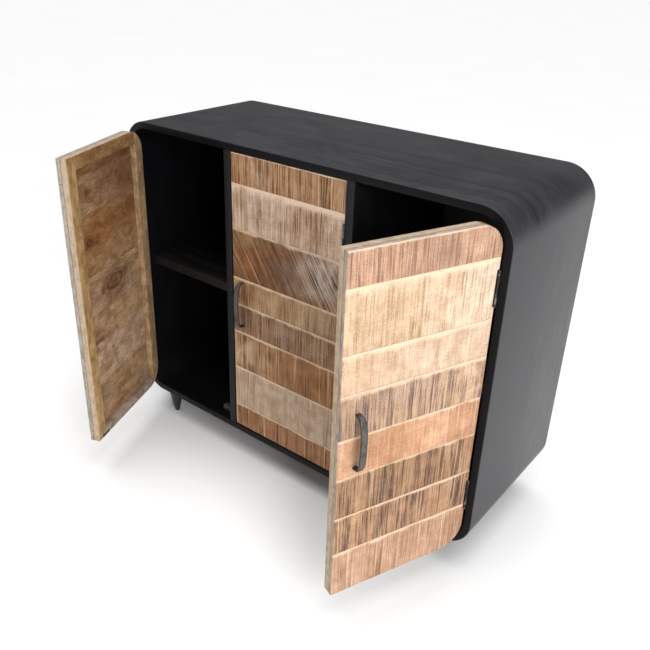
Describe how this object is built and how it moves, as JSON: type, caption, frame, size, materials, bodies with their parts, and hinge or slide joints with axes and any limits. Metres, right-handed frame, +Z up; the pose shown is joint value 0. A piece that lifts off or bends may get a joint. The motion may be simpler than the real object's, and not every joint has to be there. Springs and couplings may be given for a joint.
{
  "type": "sideboard buffet",
  "caption": "Low black sideboard with rounded corners, plank doors on butt hinges, bow handles, inner shelves and tapered feet.",
  "frame": {"origin": "middle of the bounding box at floor level, with the outer doors standing open", "axes": "+X along the case to the right as seen from the front, +Y towards the back panel, +Z up"},
  "size_m": [1.1, 0.7206, 0.875],
  "materials": {
    "black_case": "black lacquered sheet over a board core, satin",
    "black_shelf": "black stained board, matt",
    "black_foot": "black lacquer, satin",
    "plank_wood": "rough-sawn hardwood planks, clear matt lacquer",
    "frame_wood": "planed hardwood, clear matt lacquer",
    "handle_iron": "dark forged iron, waxed",
    "hinge_steel": "black enamelled steel",
    "catch_black": "black moulded housing with a magnet"
  },
  "bodies": {
    "case": {"top_panel": "black_case", "bottom_panel": "black_case", "left_side": "black_case", "right_side": "black_case", "back_panel": "black_case", "left_divider": "black_case", "right_divider": "black_case", "left_shelf": "black_shelf", "middle_shelf": "black_shelf", "right_shelf": "black_shelf", "front_left_foot": "black_foot", "front_right_foot": "black_foot", "back_left_foot": "black_foot", "back_right_foot": "black_foot", "left_door_upper_hinge_case_leaf": "hinge_steel", "left_door_lower_hinge_case_leaf": "hinge_steel", "left_door_catch": "catch_black", "middle_door_upper_hinge_case_leaf": "hinge_steel", "middle_door_lower_hinge_case_leaf": "hinge_steel", "middle_door_catch": "catch_black", "right_door_upper_hinge_case_leaf": "hinge_steel", "right_door_lower_hinge_case_leaf": "hinge_steel", "right_door_catch": "catch_black"},
    "left_door": {"left_door_plank_1": "plank_wood", "left_door_plank_2": "plank_wood", "left_door_plank_3": "plank_wood", "left_door_plank_4": "plank_wood", "left_door_plank_5": "plank_wood", "left_door_plank_6": "plank_wood", "left_door_plank_7": "plank_wood", "left_door_plank_8": "plank_wood", "left_door_frame": "frame_wood", "left_door_handle": "handle_iron", "left_door_upper_hinge_door_leaf": "hinge_steel", "left_door_lower_hinge_door_leaf": "hinge_steel"},
    "middle_door": {"middle_door_plank_1": "plank_wood", "middle_door_plank_2": "plank_wood", "middle_door_plank_3": "plank_wood", "middle_door_plank_4": "plank_wood", "middle_door_plank_5": "plank_wood", "middle_door_plank_6": "plank_wood", "middle_door_plank_7": "plank_wood", "middle_door_plank_8": "plank_wood", "middle_door_frame": "frame_wood", "middle_door_handle": "handle_iron", "middle_door_upper_hinge_door_leaf": "hinge_steel", "middle_door_lower_hinge_door_leaf": "hinge_steel"},
    "right_door": {"right_door_plank_1": "plank_wood", "right_door_plank_2": "plank_wood", "right_door_plank_3": "plank_wood", "right_door_plank_4": "plank_wood", "right_door_plank_5": "plank_wood", "right_door_plank_6": "plank_wood", "right_door_plank_7": "plank_wood", "right_door_plank_8": "plank_wood", "right_door_frame": "frame_wood", "right_door_handle": "handle_iron", "right_door_upper_hinge_door_leaf": "hinge_steel", "right_door_lower_hinge_door_leaf": "hinge_steel"}
  },
  "joints": [
    {"name": "left_door_hinge", "type": "hinge", "parent": "case", "child": "left_door", "pos_m": [-0.5289, -0.04912, 0.475], "axis": [0, 0, -1], "range_deg": [-67.8, 97.2]},
    {"name": "middle_door_hinge", "type": "hinge", "parent": "case", "child": "middle_door", "pos_m": [0.16757, -0.04912, 0.475], "axis": [0, 0, 1], "range_deg": [0, 110]},
    {"name": "right_door_hinge", "type": "hinge", "parent": "case", "child": "right_door", "pos_m": [0.5289, -0.04912, 0.475], "axis": [0, 0, 1], "range_deg": [-68.2, 96.8]}
  ]
}
